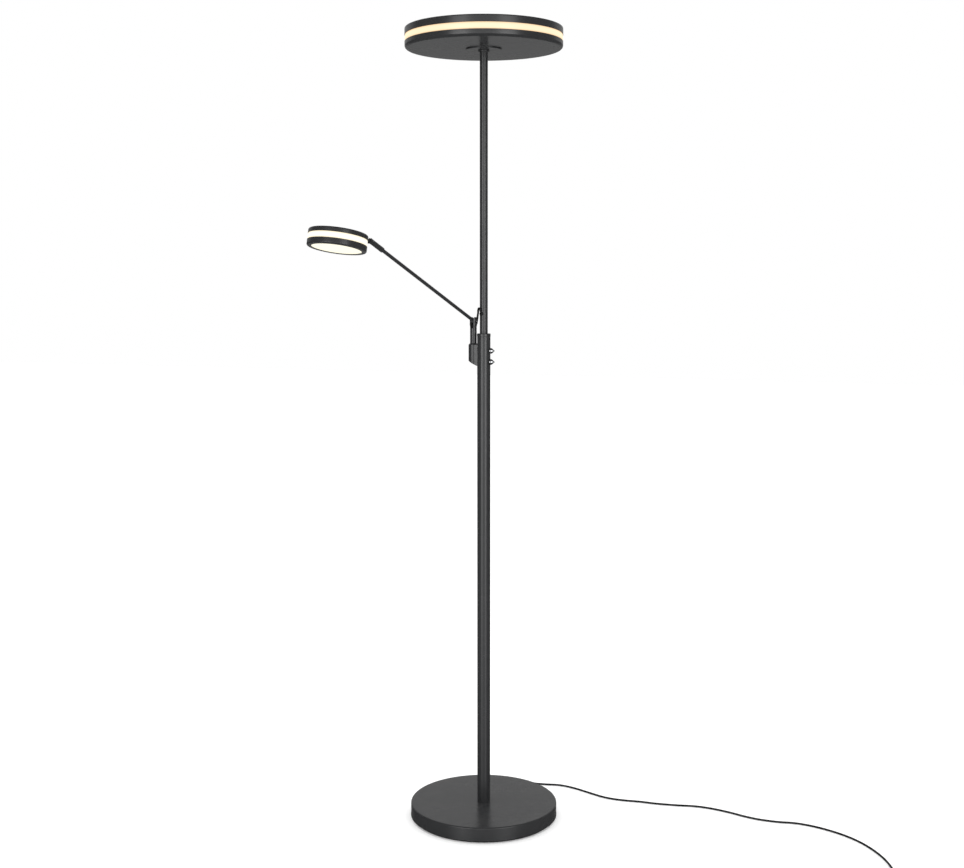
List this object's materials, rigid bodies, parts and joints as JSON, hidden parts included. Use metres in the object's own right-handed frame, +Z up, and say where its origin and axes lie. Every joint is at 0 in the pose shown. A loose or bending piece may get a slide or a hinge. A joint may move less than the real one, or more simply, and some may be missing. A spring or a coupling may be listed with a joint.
{
  "type": "torchiere floor lamp",
  "caption": "Floor lamp with a round weighted base, a two-step pole, an uplighting disc with a glowing edge and a hinged side arm with a round reading head.",
  "frame": {"origin": "centre of the underside of the base pad, on the pole's axis", "axes": "+Z up along the pole; +X towards the dimmer knobs, with the arm bracket on the -X side; the mains cord leaves along +Y"},
  "size_m": [1.2151, 0.7417, 1.8],
  "materials": {
    "powder_coat": "satin fine powder coat, anthracite",
    "opal": "opal acrylic, lit from behind",
    "zinc_steel": "zinc plated",
    "chrome_knob": "polished",
    "iron": "plain",
    "soft_pad": "foam rubber",
    "heat_sink": "mill",
    "circuit_board": "white solder mask",
    "led_phosphor": "LED phosphor",
    "driver_case": "moulded",
    "dimmer_case": "moulded",
    "nylon": "black nylon",
    "cable_rubber": "smooth cable sheath",
    "plug_plastic": "moulded black"
  },
  "bodies": {
    "stand": {"base_pad": "soft_pad", "base_weight": "iron", "base_cover": "powder_coat", "base_spacer": "zinc_steel", "base_stud": "zinc_steel", "stud_nuts": "zinc_steel", "foot_ring": "powder_coat", "foot_plug": "zinc_steel", "lower_tube": "powder_coat", "pole_joiner": "zinc_steel", "pole_cap": "powder_coat", "upper_tube": "powder_coat", "cable_grommet": "cable_rubber", "top_plug": "zinc_steel", "head_nipple": "zinc_steel", "head_collar": "powder_coat", "head_flange": "powder_coat", "flange_screws": "zinc_steel", "uplight_pan": "powder_coat", "uplight_tray": "heat_sink", "tray_screws": "zinc_steel", "uplight_board": "circuit_board", "uplight_leds": "led_phosphor", "uplight_driver": "driver_case", "band_diffuser": "opal", "top_rim": "powder_coat", "top_diffuser": "opal", "uplight_dimmer": "dimmer_case", "reading_dimmer": "dimmer_case", "arm_bracket": "powder_coat", "bracket_screws": "zinc_steel", "spigot_bush": "nylon", "loop_cable_upper": "cable_rubber", "cord_gland": "cable_rubber", "mains_cord": "cable_rubber", "cord_coil": "cable_rubber", "cord_tie": "plug_plastic", "cord_tail": "cable_rubber", "mains_plug": "plug_plastic"},
    "uplight_dial": {"uplight_knob": "chrome_knob"},
    "reading_dial": {"reading_knob": "chrome_knob"},
    "swivel": {"arm_spigot": "powder_coat", "spigot_clip": "zinc_steel", "pivot_screws": "zinc_steel"},
    "arm": {"arm_knuckle": "powder_coat", "friction_washers": "nylon", "arm_rod": "powder_coat", "tail_gland": "cable_rubber", "loop_cable_lower": "cable_rubber"},
    "head_mount": {"head_sleeve": "powder_coat", "tilt_pin": "zinc_steel"},
    "reading_head": {"head_lug": "powder_coat", "lug_screws": "zinc_steel", "reading_shell": "powder_coat", "reading_band": "opal", "reading_ring": "powder_coat", "reading_diffuser": "opal", "reading_plate": "heat_sink", "reading_leds": "led_phosphor", "plate_screws": "zinc_steel"}
  },
  "joints": [
    {"name": "uplight_knob_turn", "type": "hinge", "parent": "stand", "child": "uplight_dial", "pos_m": [0.0156, 0, 1.089], "axis": [1, 0, 0], "range_deg": [-150, 150]},
    {"name": "reading_knob_turn", "type": "hinge", "parent": "stand", "child": "reading_dial", "pos_m": [0.0156, 0, 1.064], "axis": [1, 0, 0], "range_deg": [-150, 150]},
    {"name": "arm_swing", "type": "hinge", "parent": "stand", "child": "swivel", "pos_m": [-0.025, 0, 1.1565], "axis": [0, 0, 1], "range_deg": [-174, 26], "deforming": ["loop_cable_upper", "loop_cable_lower"]},
    {"name": "arm_lift", "type": "hinge", "parent": "swivel", "child": "arm", "pos_m": [-0.025, 0, 1.1565], "axis": [-0.9613, 0.2756, 0], "range_deg": [-65, 30], "deforming": ["loop_cable_lower"]},
    {"name": "head_turn", "type": "hinge", "parent": "arm", "child": "head_mount", "pos_m": [-0.11253, -0.30524, 1.31001], "axis": [-0.2482, -0.8654, 0.4352], "range_deg": [-90, 90]},
    {"name": "head_tilt", "type": "hinge", "parent": "head_mount", "child": "reading_head", "pos_m": [-0.12211, -0.33865, 1.32681], "axis": [-0.9613, 0.2756, 0], "range_deg": [-50, 60]}
  ]
}
